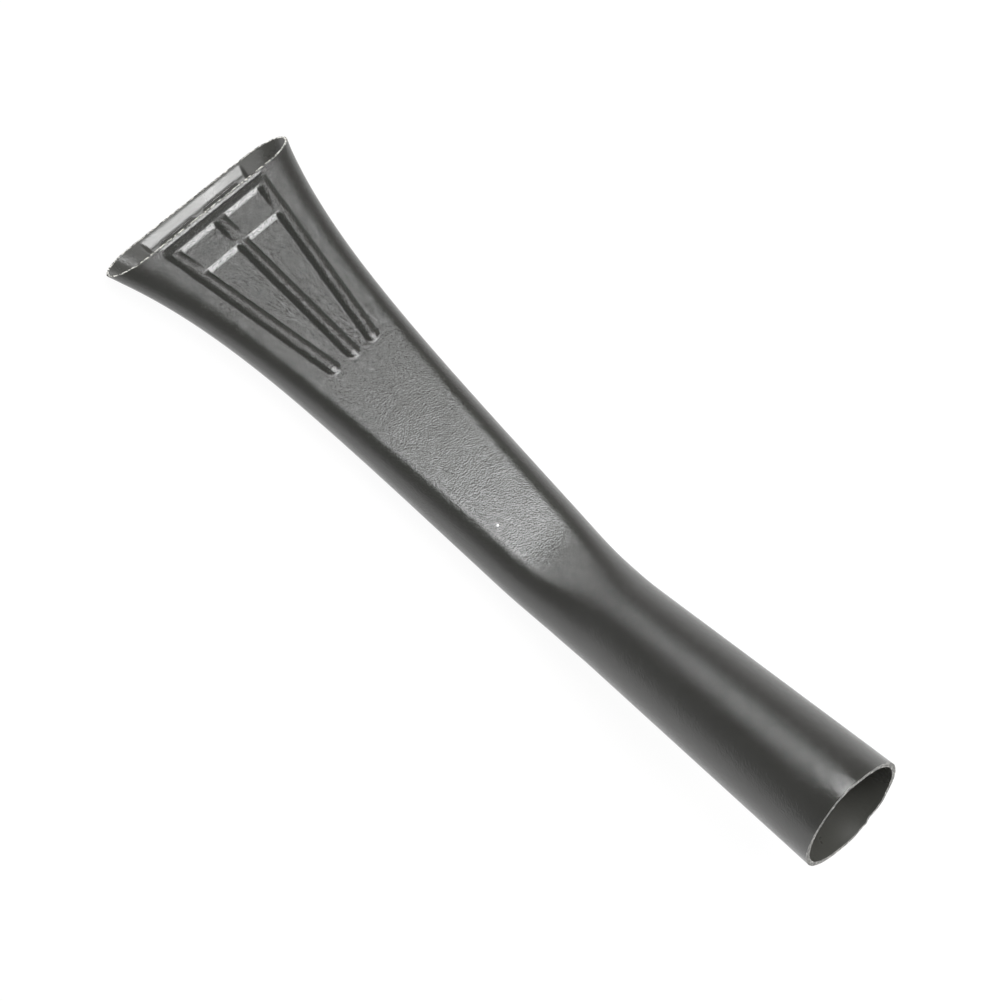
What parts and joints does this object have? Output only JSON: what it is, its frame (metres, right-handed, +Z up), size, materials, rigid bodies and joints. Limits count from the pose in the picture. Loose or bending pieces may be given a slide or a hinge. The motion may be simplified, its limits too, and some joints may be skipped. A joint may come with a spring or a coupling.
{
  "type": "vacuum nozzle",
  "caption": "Blow-moulded claw nozzle: round tapered tube with a hose socket, bent neck, and a long flattened fan with raised ribs and steps behind a wide slanted mouth.",
  "frame": {"origin": "on the floor that the nozzle lies on, below the middle of its length and width", "axes": "+X along the length towards the mouth, +Y across the nozzle, +Z up from the floor; the nozzle lies on its back with the tube rising"},
  "size_m": [0.4072, 0.106, 0.1023],
  "materials": {
    "nozzle": "blasted mould grain, satin"
  },
  "bodies": {
    "root": {"nozzle": "nozzle"}
  },
  "joints": []
}
